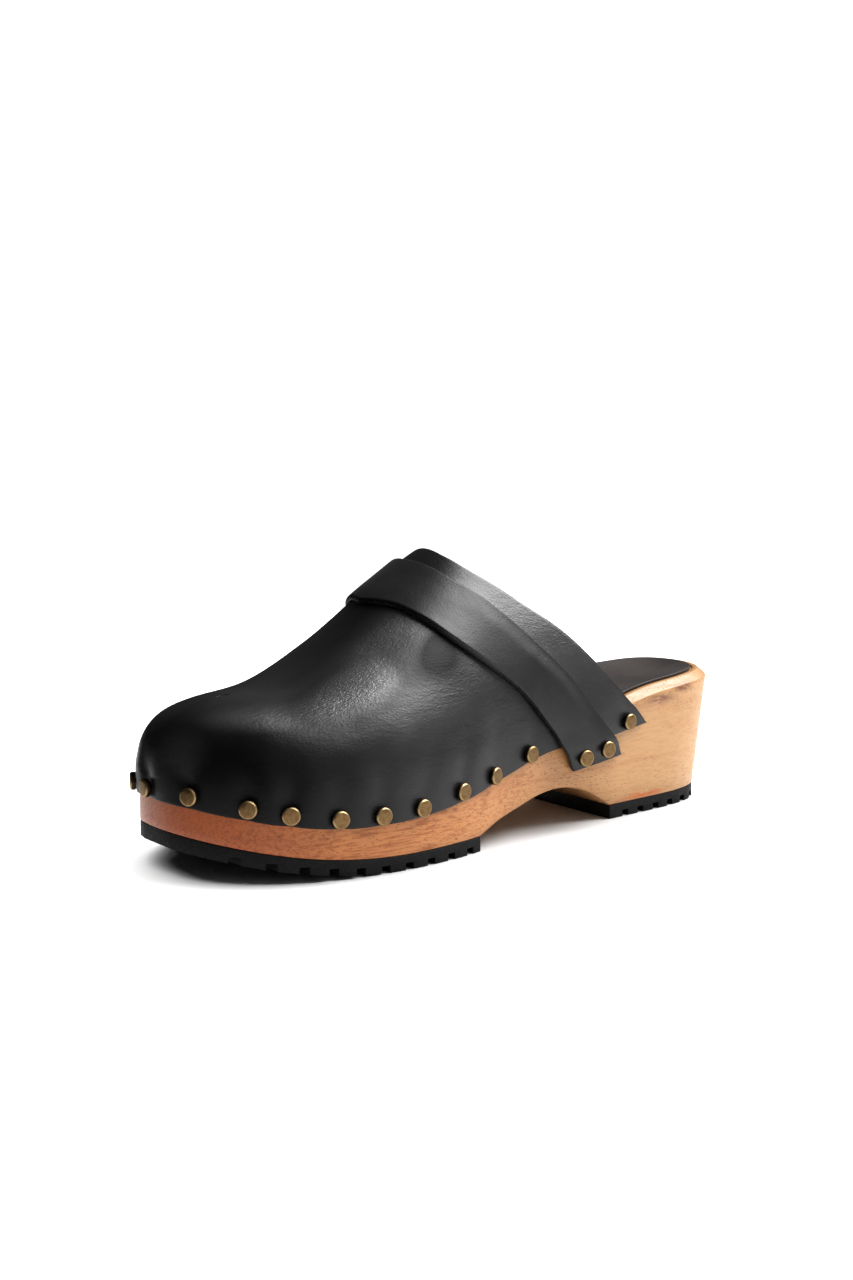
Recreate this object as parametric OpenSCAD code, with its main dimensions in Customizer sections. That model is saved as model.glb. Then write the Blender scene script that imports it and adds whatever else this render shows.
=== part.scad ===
// Wooden clog for the left foot, in millimetres.
// The floor is z = 0, the toe points to -Y and +X is the outer side of the foot.
// A station is a place along the sole, in percent of its length from the toe to the heel.
// A side is +1 for the outer side of the foot and -1 for the inner side.

/* [Sole] */
// Length of the wooden sole
sole_length = 250; // [235:1:265]
// Width scale of the wooden sole
width_scale = 1; // [0.94:0.01:1.06]
// How far the front of the wood rises above the tread plane
toe_spring = 10.5; // [8:0.5:13]
// Height of the arch above the tread plane
arch_rise = 10; // [8:0.5:12]
// Depth of the hollow in the footbed
bed_depth = 4; // [3:0.5:5]
// Depth of the shallow step in the wood that the leather edge lies in
rabbet = 0.9; // [0.8:0.1:1.2]

/* [Leather] */
// Thickness of the upper
leather_t = 2.1; // [1.8:0.1:2.4]
// Thickness of the strap over the instep
strap_t = 2.2; // [1.8:0.1:2.6]
// Gap between the strap and the upper
strap_gap = 0.25; // [0.2:0.05:0.4]
// Thickness of the heel sock
sock_t = 1.4; // [1:0.1:2]

/* [Treads] */
// Full thickness of the rubber treads
tread_t = 5.5; // [5:0.1:6.5]
// Depth of the grooves between the lugs
groove_depth = 2.5; // [2:0.1:3]
// Distance from one forefoot lug to the next
front_pitch = 10; // [9:0.5:11]
// Distance from one heel lug to the next
heel_pitch = 9; // [8:0.5:10]
// Width of a groove
groove_w = 3.4; // [3:0.1:4]

/* [Nails] */
// Diameter of a nail head
head_d = 6.5; // [6:0.1:7]
// Height of a nail head
head_h = 2.1; // [1.8:0.1:2.4]
// Diameter of a nail shank
shank_d = 1.8; // [1.6:0.1:2]
// Length of a nail shank
shank_l = 12; // [10:1:14]

/* [Hidden] */
// Half widths of the sole at every tenth of its length, before the ends are rounded
outer_half = [36, 42.5, 47, 48, 44.5, 37, 33, 33.5, 31, 28.5, 30];
inner_half = [40, 43.5, 45, 43.5, 39.5, 33, 31.5, 32.5, 29.5, 27.5, 31];
// Share of the length that each rounded end takes, in percent, and how square it is
toe_end = 20;
toe_square = 2.3;
heel_end = 14;
heel_square = 2.2;
// Heights at every tenth of the length: lower edge of the leather, top rim of the wood
// and the line of the instep, which runs on past the throat
edge_heights = [26.6, 21, 17.9, 18.1, 20.8, 25.6, 31.5, 33.5, 36.9, 40, 42];
rim_heights = [33, 29, 26.5, 26.5, 29, 33.5, 38, 43.5, 49.5, 52, 53.5];
ridge_heights = [61.5, 60, 63, 76.5, 94.5, 109, 112, 112, 112, 112, 112];
// Heights of the arch over the tread plane, as shares of its rise, from its front to the heel
arch_shares = [0, 0.37, 0.65, 0.92, 1, 0.69, 0];
arch_front = 44;
arch_back = 73;
// The upper's wall stands on the sole's edge, and its dome starts this far above the leather's edge
wall_h = 8;
// How far the leather stands out from the sole's edge, in front and behind
proud_front = 1.4;
proud_back = 2.3;
// The spine is the line over the instep where both sides of the dome meet
spine_x = -6;
spine_start = 30;
spine_shift = 6;
// Roundness of the dome across the foot (plan and height), at the toe and at the instep
toe_plan = 2.5;
instep_plan = 1.9;
top_plan = 2.1;
toe_rise = 1.95;
instep_rise = 1.9;
toe_bulge = 0.5;
instep_bulge = 0.6;
// How much squarer the dome is over the outer side of the toes, and the stations between which
// this comes in and fades out
shoulder = 0.8;
shoulder_full = 10;
shoulder_from = 22;
shoulder_to = 44;
// Station where the dome is all instep, and the angle up it where its top begins
instep_station = 48;
top_from = 40;
// Stations of the throat and of the strap's edges at every 15 degrees up the dome
throat_line = [76.6, 70.3, 63.3, 54.8, 48.3, 45.1, 43.8];
strap_front = [59.2, 53.5, 45.9, 40.1, 36.3, 33.7, 31.2];
strap_back = [68.9, 63.6, 56.4, 49.4, 44, 41.3, 39.6];
line_step = 15;
// Station of the tail corner of the upper
tail = 79.4;
// Corners of the strap's ends, as a station and a height
strap_end_front = [64.4, 22];
strap_end_back = [74, 25.9];
// Nails round each side of the upper, the last one in its tail, each as a station and a height
// above the leather's lower edge
outer_nails = [
    [1.8, 4.5], [7.1, 4.2], [11.8, 4], [18.1, 3.5], [24.6, 3.5],
    [31.3, 3.4], [39.1, 4], [46.5, 3.3], [54.8, 3.3], [74.7, 3.7]];
inner_nails = [
    [0.02, 3.4], [1.5, 3.4], [6.9, 4.2], [12.3, 4], [18.6, 3.5], [25.2, 3.5],
    [32, 3.4], [39.9, 4], [47.2, 3.3], [55.2, 3.3], [74.7, 3.7]];
// Nails in the strap's ends, as a station and a height
strap_nails = [[65.6, 27.4], [69.4, 29.9]];
// The object is centred on its own box
centre_x = -1.53;
centre_y = 1.72;

function count_names(word, list) = [for (i = [1:len(list)]) str(word, i < 10 ? "0" : "", i)];
outer_names = count_names("nail_outer_", outer_nails);
inner_names = count_names("nail_inner_", inner_nails);
strap_outer_names = count_names("strap_nail_outer_", strap_nails);
strap_inner_names = count_names("strap_nail_inner_", strap_nails);
main_names = ["wooden_sole", "leather_upper", "instep_strap", "heel_sock", "forefoot_tread", "heel_tread"];

// ---- Curves ----

function mix(a, b, t) = a + (b - a) * t;
function clamp01(t) = max(0, min(1, t));
function ease(t) = let (c = clamp01(t)) c * c * (3 - 2 * c);

// A value of the list at place i, with the ends of the list run on in a straight line
function knot(list, i) =
    let (last = len(list) - 1)
    i < 0 ? 2 * list[0] - list[1] :
    i > last ? 2 * list[last] - list[last - 1] :
    list[i];

// Smooth curve through the values of a list, at place u
function through(list, u) =
    let (i = max(0, min(len(list) - 2, floor(u))), t = u - i)
    let (a = knot(list, i - 1), b = knot(list, i), c = knot(list, i + 1), d = knot(list, i + 2))
    0.5 * (2 * b + (c - a) * t + (2 * a - 5 * b + 4 * c - d) * t * t + (3 * b - a - 3 * c + d) * t * t * t);

function y_at(s) = (s / 100 - 0.5) * sole_length;
function station_at(y) = (y / sole_length + 0.5) * 100;
function rounded_end(t, square) = pow(1 - pow(1 - clamp01(t), square), 1 / square);

function half_width(s, side) =
    through(side > 0 ? outer_half : inner_half, s / 10) * width_scale
    * rounded_end(s / toe_end, toe_square) * rounded_end((100 - s) / heel_end, heel_square);

// Outline of the sole from above, and the direction straight out of it
function outline(s, side) = [side * half_width(s, side), y_at(s)];
function outward(s, side) =
    s < 0.001 ? [0, -1] :
    s > 99.999 ? [0, 1] :
    let (d = 0.01)
    let (a = outline(max(0, s - d), side), b = outline(min(100, s + d), side))
    side * [b.y - a.y, a.x - b.x] / norm(b - a);

function edge_z(s) = through(edge_heights, s / 10);
function rim_z(s) = through(rim_heights, s / 10);
function ridge_z(y) = through(ridge_heights, station_at(y) / 10);

// ---- Wooden sole ----

spring_start = 30;
function arch_z(s) =
    let (share = (s - arch_front) / (arch_back - arch_front))
    share < 0 || share > 1 ? 0 : arch_rise * through(arch_shares, share * (len(arch_shares) - 1));
function under_z(s) =
    tread_t + arch_z(s) + toe_spring * pow(max(0, spring_start - s) / spring_start, 2);

// The heel narrows towards the floor, most of all at its back
heel_inset = 2.8;
back_inset = 5;
back_from = 84;
function foot_inset(s) =
    mix(heel_inset * ease((s - arch_front) / (arch_back - arch_front)),
        back_inset, ease((s - back_from) / (100 - back_from)));

// Height and width of the bevel round the rim, in front and behind
front_bevel = [1.6, 1.2];
back_bevel = [3.4, 3];
bevel_from = 55;
bevel_to = 80;
function bevel(s) = mix(front_bevel, back_bevel, ease((s - bevel_from) / (bevel_to - bevel_from)));
function bevel_foot_z(s) = rim_z(s) - bevel(s)[1];

// The step that the leather's edge lies in fades out behind the ball of the foot
step_from = 50;
step_to = 66;
function step_fade(s) = ease((s - step_from) / (step_to - step_from));
function rabbet_at(s) = rabbet * (1 - step_fade(s));
function lean(s, z) = foot_inset(s) * (1 - clamp01((z - under_z(s)) / (bevel_foot_z(s) - under_z(s))));

function at_outline(s, side, inset, z) =
    let (p = outline(s, side) - inset * outward(s, side))
    [p.x, p.y, z];

toe_steps = 8;
front_steps = 8;
arch_steps = 12;
seat_steps = 4;
heel_steps = 6;
toe_stations = [for (i = [0:toe_steps]) toe_end * (1 - pow(cos(90 * i / toe_steps), 2 / toe_square))];
front_stations = [for (i = [1:front_steps]) mix(toe_end, arch_front, i / front_steps)];
arch_stations = [for (i = [1:arch_steps]) mix(arch_front, arch_back, i / arch_steps)];
seat_stations = [for (i = [1:seat_steps - 1]) mix(arch_back, 100 - heel_end, i / seat_steps)];
heel_stations =
    [for (i = [heel_steps:-1:0]) 100 - heel_end * (1 - pow(cos(90 * i / heel_steps), 2 / heel_square))];
sole_stations = concat(toe_stations, front_stations, arch_stations, seat_stations, heel_stations);
last_station = len(sole_stations) - 1;

// A ring runs from the toe round the outer side to the heel and back along the inner side
ring_size = 2 * last_station;
function ring_station(j) = sole_stations[j <= last_station ? j : ring_size - j];
function ring_side(j) = j <= last_station ? 1 : -1;

// The footbed dips inside a flat rim, down to a spine that ends short of the toe and the heel
rim_w = 2.2;
bed_lip = 0.5;
bed_front_share = 0.7;
bed_curve = 2.4;
bed_from = 50;
bed_to = 80;
bed_spine_margin = 30;
function bed_inset(s) = rabbet_at(s) + bevel(s)[0] + rim_w;
function bed_spine(j) =
    let (y = mix(bed_spine_margin - sole_length / 2, sole_length / 2 - bed_spine_margin, j / last_station))
    [0, y];
function bed_depth_at(s) = bed_depth * mix(bed_front_share, 1, ease((s - bed_from) / (bed_to - bed_from)));
function bed_z(s, w) = rim_z(s) - bed_lip - bed_depth_at(s) * (1 - pow(1 - w, bed_curve));
// Point of the footbed, from its edge (w = 0) to the spine (w = 1)
function bed_point(s, side, spine, w, lift) =
    let (e = at_outline(s, side, bed_inset(s), 0))
    let (x = mix(e.x, spine.x, w), y = mix(e.y, spine.y, w), at = station_at(y))
    [x, y, bed_z(at, w) + lift];

function flat(list) = [for (part = list) each part];
function sole_ring(inset, z) =
    [for (j = [0:ring_size - 1]) let (s = ring_station(j)) at_outline(s, ring_side(j), inset[j], z[j])];

// Triangles between two closed rings of m points that start at a and b, b being above
function band(m, a, b) = flat([for (j = [0:m - 1]) let (k = (j + 1) % m)
    [[a + j, b + j, b + k], [a + j, b + k, a + k]]]);
// Closes a ring of m points underneath, straight across the foot
function close_under(m, a) = flat([for (j = [0:m / 2 - 1])
    concat(j > 0 ? [[a + j, a + j + 1, a + m - j]] : [],
           j < m / 2 - 1 ? [[a + j + 1, a + m - j - 1, a + (m - j) % m]] : [])]);
// Closes a ring of m points on top, onto a spine that both sides share
function close_on_spine(m, a, b) = flat([for (j = [0:m - 1])
    let (k = (j + 1) % m, n = m / 2, sj = j <= n ? j : m - j, sk = k <= n ? k : m - k)
    [[a + j, b + sj, b + sk], [a + j, b + sk, a + k]]]);

module wooden_sole() {
    m = ring_size;
    s = [for (j = [0:m - 1]) ring_station(j)];
    all = [0:m - 1];
    step_h = 0.4;
    bed_steps = [0, 0.12, 0.25, 0.42, 0.7];
    under = sole_ring([for (j = all) foot_inset(s[j])], [for (j = all) under_z(s[j])]);
    edge = sole_ring([for (j = all) lean(s[j], edge_z(s[j]))], [for (j = all) edge_z(s[j])]);
    step = sole_ring([for (j = all) lean(s[j], edge_z(s[j])) + rabbet_at(s[j])],
                     [for (j = all) edge_z(s[j]) + step_h]);
    bevel_foot = sole_ring([for (j = all) rabbet_at(s[j])], [for (j = all) bevel_foot_z(s[j])]);
    rim = sole_ring([for (j = all) rabbet_at(s[j]) + bevel(s[j])[0]], [for (j = all) rim_z(s[j])]);
    bed = [for (w = bed_steps, j = all)
        bed_point(s[j], ring_side(j), bed_spine(j <= m / 2 ? j : m - j), w, 0)];
    spine = [for (j = [0:m / 2]) let (p = bed_spine(j)) [p.x, p.y, bed_z(station_at(p.y), 1)]];
    rings = 5 + len(bed_steps);
    faces = concat(
        close_under(m, 0),
        flat([for (r = [0:rings - 2]) band(m, r * m, (r + 1) * m)]),
        close_on_spine(m, (rings - 1) * m, rings * m));
    color("burlywood")
        polyhedron(points = concat(under, edge, step, bevel_foot, rim, bed, spine), faces = faces);
}

// ---- Upper ----

function proud(s) = mix(proud_front, proud_back, step_fade(s));
function wall_top(s) = edge_z(s) + wall_h;
function spine_y(s) =
    norm([s * sole_length / 100, spine_start]) - sole_length / 2
    + spine_shift * rounded_end(s / toe_end, toe_square);

function shoulder_at(s, side) =
    side < 0 ? 0 :
    shoulder * ease(s / shoulder_full) * (1 - ease((s - shoulder_from) / (shoulder_to - shoulder_from)));

// Point on the outside of the upper, moved out by "out".
// up is the angle up the dome: 0 at the top of the wall, 90 on the spine.
function dome(s, side, up, out) =
    let (root = [spine_x * rounded_end(s / toe_end, toe_square), spine_y(s)])
    let (back = ease(s / instep_station), top = ease((up - top_from) / (90 - top_from)))
    let (square = shoulder_at(s, side))
    let (plan = mix(mix(toe_plan, instep_plan, back) + square, top_plan, top))
    let (rise = mix(toe_rise, instep_rise, back) + square)
    let (bulge = mix(toe_bulge, instep_bulge, back) * sin(2 * up) * cos(up))
    let (foot = outline(s, side) + outward(s, side) * (proud(s) + bulge + out))
    let (p = root + (foot - root) * pow(max(0, cos(up)), 2 / plan))
    [p.x, p.y, mix(wall_top(s), ridge_z(p.y) + out, pow(sin(up), 2 / rise))];

// Point on the outside of the upright wall under the dome, h above the leather's lower edge
function wall(s, side, h, out) =
    let (z = edge_z(s) + h)
    at_outline(s, side, lean(s, z) * (1 - h / wall_h) - proud(s) - out, z);

dome_steps = [0, 9, 18, 27, 36, 45, 54, 62, 70, 77, 84];
body_steps = 14;
upper_last = toe_steps + body_steps;
// Station of column i, where the last column ends on the line "end"
function upper_station(i, end) =
    i <= toe_steps ? toe_stations[i] : mix(toe_end, end, (i - toe_steps) / body_steps);
function throat_at(up) = through(throat_line, up / line_step);

// A zipped shell has rows of points round one end of the foot, from the inner side to the outer
// one, and a spine that both sides share. Its points are outside rows, outside spine, inside rows
// and inside spine.
function row_index(rows, n, r, c) = r < rows ? r * (2 * n + 1) + c + n : rows * (2 * n + 1) + abs(c);
function zipped_faces(rows, n) =
    let (base = rows * (2 * n + 1) + n + 1)
    let (o = function (r, c) row_index(rows, n, r, c), i = function (r, c) base + row_index(rows, n, r, c))
    concat(
        flat([for (r = [0:rows - 1], c = [-n:n - 1]) [
            [o(r, c), o(r + 1, c), o(r + 1, c + 1)], [o(r, c), o(r + 1, c + 1), o(r, c + 1)],
            [i(r, c), i(r + 1, c + 1), i(r + 1, c)], [i(r, c), i(r, c + 1), i(r + 1, c + 1)]]]),
        flat([for (c = [-n:n - 1]) [
            [o(0, c), o(0, c + 1), i(0, c + 1)], [o(0, c), i(0, c + 1), i(0, c)]]]),
        flat([for (r = [0:rows - 1]) [
            [o(r, n), o(r + 1, n), i(r + 1, n)], [o(r, n), i(r + 1, n), i(r, n)],
            [o(r + 1, -n), o(r, -n), i(r, -n)], [o(r + 1, -n), i(r, -n), i(r + 1, -n)]]]));

function upper_skin(out) =
    let (n = upper_last, low = [[0, tail], [wall_h / 2, mix(tail, throat_at(0), 0.5)]])
    concat(
        [for (row = low, c = [-n:n])
            let (s = upper_station(abs(c), row[1])) wall(s, c < 0 ? -1 : 1, row[0], out)],
        [for (up = dome_steps, c = [-n:n])
            let (s = upper_station(abs(c), throat_at(up))) dome(s, c < 0 ? -1 : 1, up, out)],
        [for (c = [0:n])
            let (s = upper_station(c, throat_at(90))) dome(s, 1, 90, out)]);

module leather_upper() {
    color("dimgray")
        polyhedron(
            points = concat(upper_skin(0), upper_skin(-leather_t)),
            faces = zipped_faces(2 + len(dome_steps), upper_last));
}

// ---- Strap ----

strap_ups = [0, 8, 16, 24, 32, 40, 48, 56, 63, 70, 76, 82, 86];
strap_drops = [0, 0.25, 0.5, 0.75];
strap_across = 5;
// Share of the way up to the dome at which the strap's end has left the wood for the leather
strap_seated = 0.55;
function strap_seat(s, z, t) = mix(-lean(s, z), proud(s), ease(t / strap_seated));

// Point of the strap's end below the dome, t from its end (0) up to the wall's top (1)
function strap_end_point(t, a, side, out) =
    let (s0 = mix(strap_end_front[0], strap_end_back[0], a), z0 = mix(strap_end_front[1], strap_end_back[1], a))
    let (s1 = mix(strap_front[0], strap_back[0], a), s = mix(s0, s1, t))
    let (z = mix(z0, wall_top(s1), t))
    at_outline(s, side, -strap_seat(s, z, t) - strap_gap - out, z);
function strap_point(up, a, side, out) =
    let (s = mix(through(strap_front, up / line_step), through(strap_back, up / line_step), a))
    dome(s, side, up, strap_gap + out);

// A closed section across the strap: over its outside and back along its inside
function strap_section(place) =
    concat(
        [for (k = [0:strap_across]) place(k / strap_across, strap_t)],
        [for (k = [strap_across:-1:0]) place(k / strap_across, 0)]);
function strap_half(side) = concat(
    [for (t = strap_drops) strap_section(function (a, out) strap_end_point(t, a, side, out))],
    [for (up = strap_ups) strap_section(function (a, out) strap_point(up, a, side, out))]);
function backwards(list) = [for (i = [len(list) - 1:-1:0]) list[i]];

module instep_strap() {
    crown = strap_section(function (a, out) strap_point(90, a, 1, out));
    sections = concat(strap_half(1), [crown], backwards(strap_half(-1)));
    m = len(crown);
    last = (len(sections) - 1) * m;
    side_faces = flat([for (r = [0:len(sections) - 2]) band(m, r * m, (r + 1) * m)]);
    cap_faces = flat([for (k = [0:strap_across - 1]) [
        [k, k + 1, m - 2 - k], [k, m - 2 - k, m - 1 - k],
        [last + k, last + m - 2 - k, last + k + 1], [last + k, last + m - 1 - k, last + m - 2 - k]]]);
    color("dimgray")
        polyhedron(points = flat(sections), faces = concat(side_faces, cap_faces));
}

// ---- Heel sock ----

// Stations of its front edge at the side and at the spine
sock_front = 56;
sock_spine_front = 54;
sock_rows = [0.02, 0.12, 0.25, 0.42, 0.7];
sock_steps = 8;
sock_clear = 0.25;
sock_columns = concat(
    backwards(heel_stations),
    [for (i = [1:sock_steps]) mix(100 - heel_end, sock_front, i / sock_steps)]);
function sock_spine(i) =
    [0, mix(sole_length / 2 - bed_spine_margin, y_at(sock_spine_front), i / (len(sock_columns) - 1))];
function sock_point(c, w, lift) =
    bed_point(sock_columns[abs(c)], c < 0 ? 1 : -1, sock_spine(abs(c)), w, lift);

module heel_sock() {
    n = len(sock_columns) - 1;
    skin = function (lift) concat(
        [for (w = sock_rows, c = [-n:n]) sock_point(c, w, lift)],
        [for (c = [0:n]) sock_point(c, 1, lift)]);
    color([0.13, 0.12, 0.12])
        polyhedron(
            points = concat(skin(sock_clear + sock_t), skin(sock_clear)),
            faces = zipped_faces(len(sock_rows), n));
}

// ---- Treads ----

// Outline of the wood's underside between two stations
function under_outline(stations) = concat(
    [for (s = stations) let (p = at_outline(s, 1, foot_inset(s), 0)) [p.x, p.y]],
    [for (s = backwards(stations)) let (p = at_outline(s, -1, foot_inset(s), 0)) [p.x, p.y]]);

// A side view, with y across and z up, made solid over a width across the foot
module side_profile(points, width) {
    rotate([90, 0, 90])
        translate([0, 0, -width / 2])
            linear_extrude(width)
                polygon(points);
}

tread_width = 120;
tread_reach = 40;
cut_h = 10;
spring_steps = 16;
front_groove_count = 10;
front_first_groove = 6;
heel_groove_count = 6;
heel_first_groove = 7;
front_tread_stations = concat([for (i = [1:toe_steps]) toe_stations[i]], front_stations);
heel_tread_stations = concat([arch_back], seat_stations, [for (i = [0:heel_steps - 1]) heel_stations[i]]);

// Side view of the forefoot tread: the wood's underside above, parallel to it below
function front_profile(depth) =
    let (ends = [for (i = [0:spring_steps]) mix(-1, spring_start, i / spring_steps)])
    let (all = concat(ends, [arch_front]))
    concat(
        [for (s = all) [y_at(s), under_z(s)]],
        [for (s = backwards(all)) [y_at(s), under_z(s) - depth]]);

module forefoot_tread() {
    band_t = tread_t - groove_depth;
    color([0.1, 0.1, 0.1])
        difference() {
            intersection() {
                side_profile(front_profile(tread_t), tread_width);
                linear_extrude(tread_reach)
                    polygon(under_outline(front_tread_stations));
            }
            for (i = [0:front_groove_count - 1]) {
                y = y_at(arch_front) - front_first_groove - i * front_pitch;
                z = under_z(station_at(y)) - band_t;
                translate([-tread_width / 2, y - groove_w / 2, z - cut_h])
                    cube([tread_width, groove_w, cut_h]);
            }
        }
}

module heel_tread() {
    color([0.1, 0.1, 0.1])
        difference() {
            linear_extrude(tread_t)
                polygon(under_outline(heel_tread_stations));
            for (i = [0:heel_groove_count - 1])
                translate([-tread_width / 2, y_at(arch_back) + heel_first_groove + i * heel_pitch, -1])
                    cube([tread_width, groove_w, groove_depth + 1]);
        }
}

// ---- Nails ----

head_chamfer = 0.55;
shank_tip = 1.5;
// A head is pressed this far into the leather
head_sink = 0.1;

module nail() {
    r = head_d / 2;
    rotate_extrude($fn = 48)
        polygon([[0, -shank_l], [shank_d / 2, shank_tip - shank_l], [shank_d / 2, 0], [r, 0],
                 [r, head_h - head_chamfer], [r - head_chamfer, head_h], [0, head_h]]);
}

// A nail at a station, square to the outline, its head's underside "out" from it at height z
module nail_at(s, side, out, z) {
    p = at_outline(s, side, -out, z);
    d = outward(s, side);
    color("peru")
        translate(p)
            rotate([0, 90, atan2(d.y, d.x)])
                nail();
}

module upper_nail(place, side) {
    s = place[0];
    nail_at(s, side, proud(s) - head_sink, edge_z(s) + place[1]);
}

module strap_nail(place, side) {
    t = (place[1] - strap_end_front[1]) / (wall_top(place[0]) - strap_end_front[1]);
    nail_at(place[0], side, strap_seat(place[0], place[1], t) + strap_gap + strap_t - head_sink, place[1]);
}

// ---- Assembly ----

translate([centre_x, centre_y, 0]) {
    wooden_sole();
    leather_upper();
    instep_strap();
    heel_sock();
    forefoot_tread();
    heel_tread();
    for (i = [0:len(outer_nails) - 1])
        upper_nail(outer_nails[i], 1);
    for (i = [0:len(inner_nails) - 1])
        upper_nail(inner_nails[i], -1);
    for (i = [0:len(strap_nails) - 1])
        strap_nail(strap_nails[i], 1);
    for (i = [0:len(strap_nails) - 1])
        strap_nail(strap_nails[i], -1);
}
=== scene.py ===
"""Looks of the wooden clog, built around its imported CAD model.

Shapes are worked out in millimetres, with the toe at -Y and the floor at z = 0, and are put into
the frame in metres. A station is a place along the sole, in percent of its length from the toe to
the heel. A side is +1 for the outer side of the foot and -1 for the inner side.
"""

from math import atan2, cos, pi, radians, sin

import bmesh
import bpy
import numpy as np
from mathutils import Matrix, Vector


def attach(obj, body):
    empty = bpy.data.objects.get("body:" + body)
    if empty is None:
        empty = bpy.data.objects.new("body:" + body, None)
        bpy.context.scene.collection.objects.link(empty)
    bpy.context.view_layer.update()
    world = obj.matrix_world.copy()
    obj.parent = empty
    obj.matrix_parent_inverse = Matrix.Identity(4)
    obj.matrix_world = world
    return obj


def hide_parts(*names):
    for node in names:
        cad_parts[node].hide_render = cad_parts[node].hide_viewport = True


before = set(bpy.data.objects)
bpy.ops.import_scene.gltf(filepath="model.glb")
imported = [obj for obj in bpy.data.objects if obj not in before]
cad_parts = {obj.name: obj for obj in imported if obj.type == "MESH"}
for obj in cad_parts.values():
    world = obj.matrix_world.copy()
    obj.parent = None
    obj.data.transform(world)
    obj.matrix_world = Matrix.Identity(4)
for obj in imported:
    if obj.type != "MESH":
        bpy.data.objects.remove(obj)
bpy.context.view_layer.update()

# ---- Named dimensions, in millimetres, the same as the CAD source's ----

MM = 0.001
CENTRE = np.array([-1.53, 1.72, 0.0])
SOLE_LENGTH = 250.0
OUTER_HALF = [36, 42.5, 47, 48, 44.5, 37, 33, 33.5, 31, 28.5, 30]
INNER_HALF = [40, 43.5, 45, 43.5, 39.5, 33, 31.5, 32.5, 29.5, 27.5, 31]
TOE_END, TOE_SQUARE = 20.0, 2.3
HEEL_END, HEEL_SQUARE = 14.0, 2.2
EDGE_HEIGHTS = [26.6, 21, 17.9, 18.1, 20.8, 25.6, 31.5, 33.5, 36.9, 40, 42]
RIM_HEIGHTS = [33, 29, 26.5, 26.5, 29, 33.5, 38, 43.5, 49.5, 52, 53.5]
RIDGE_HEIGHTS = [61.5, 60, 63, 76.5, 94.5, 109, 112, 112, 112, 112, 112]
ARCH_SHARES = [0, 0.37, 0.65, 0.92, 1, 0.69, 0]
ARCH_FRONT, ARCH_BACK, ARCH_RISE = 44.0, 73.0, 10.0
TREAD_T, TOE_SPRING, SPRING_START = 5.5, 10.5, 30.0
HEEL_INSET, BACK_INSET, BACK_FROM = 2.8, 5.0, 84.0
FRONT_BEVEL, BACK_BEVEL = (1.6, 1.2), (3.4, 3.0)
BEVEL_FROM, BEVEL_TO = 55.0, 80.0
STEP_FROM, STEP_TO, STEP_DEPTH, STEP_H = 50.0, 66.0, 0.9, 0.4
RIM_W, BED_LIP, BED_DEPTH, BED_FRONT_SHARE, BED_CURVE = 2.2, 0.5, 4.0, 0.7, 2.4
BED_FROM, BED_TO, BED_SPINE_MARGIN = 50.0, 80.0, 30.0
WALL_H, PROUD_FRONT, PROUD_BACK = 8.0, 1.4, 2.3
SPINE_X, SPINE_START, SPINE_SHIFT = -6.0, 30.0, 6.0
TOE_PLAN, INSTEP_PLAN, TOP_PLAN = 2.5, 1.9, 2.1
TOE_RISE, INSTEP_RISE = 1.95, 1.9
TOE_BULGE, INSTEP_BULGE = 0.5, 0.6
SHOULDER, SHOULDER_FULL, SHOULDER_FROM, SHOULDER_TO = 0.8, 10.0, 22.0, 44.0
INSTEP_STATION, TOP_FROM = 48.0, 40.0
THROAT_LINE = [76.6, 70.3, 63.3, 54.8, 48.3, 45.1, 43.8]
STRAP_FRONT = [59.2, 53.5, 45.9, 40.1, 36.3, 33.7, 31.2]
STRAP_BACK = [68.9, 63.6, 56.4, 49.4, 44, 41.3, 39.6]
LINE_STEP = 15.0
TAIL = 79.4
LEATHER_T, STRAP_T, STRAP_GAP, SOCK_T, SOCK_CLEAR = 2.1, 2.2, 0.25, 1.4, 0.25
STRAP_END_FRONT, STRAP_END_BACK, STRAP_SEATED = (64.4, 22.0), (74.0, 25.9), 0.55
SOCK_FRONT, SOCK_SPINE_FRONT = 56.0, 54.0
OUTER_NAILS = [(1.8, 4.5), (7.1, 4.2), (11.8, 4), (18.1, 3.5), (24.6, 3.5),
               (31.3, 3.4), (39.1, 4), (46.5, 3.3), (54.8, 3.3), (74.7, 3.7)]
INNER_NAILS = [(0.02, 3.4), (1.5, 3.4), (6.9, 4.2), (12.3, 4), (18.6, 3.5), (25.2, 3.5),
               (32, 3.4), (39.9, 4), (47.2, 3.3), (55.2, 3.3), (74.7, 3.7)]
STRAP_NAILS = [(65.6, 27.4), (69.4, 29.9)]
NAIL_ROW, HEAD_D, HEAD_H, HEAD_SINK, SHANK_D, SHANK_L = 3.7, 6.5, 2.1, 0.1, 1.8, 12.0

# ---- Finer details than the CAD source's, in millimetres and degrees ----

# Rounding of the cut edges of each sheet, and of the treads' lugs
UPPER_ROUND, STRAP_ROUND, SOCK_ROUND, LUG_ROUND = 0.5, 0.45, 0.45, 0.8
# Edges sharper than this are shaded as creases: sheets, wood, rubber, brass
SHEET_CREASE, WOOD_CREASE, RUBBER_CREASE, BRASS_CREASE = 60, 30, 40, 50
# Folds in the leather at the nails: how deep, how far up, how far from the toe, how wide at the
# nail, how much wider for each millimetre up, how slanted, and how deep far from the toe
FOLD_DEPTH, FOLD_REACH, FOLD_FADE = 1.6, 18.0, 105.0
FOLD_WIDTH, FOLD_SPREAD, FOLD_SLANT, FOLD_FAR_SHARE = 1.9, 0.26, 0.35, 0.25
# Folds are shallower beside the nail, and reach their depth this far above it
FOLD_LOW_SHARE, FOLD_RISE = 0.45, 7.0
# The leather swells between the nails: how much, at what height, over what height
PUCKER, PUCKER_AT, PUCKER_TALL, PUCKER_FAR_SHARE = 0.45, 5.0, 9.0, 0.3
DIMPLE, DIMPLE_R = 0.35, 4.2
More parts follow.
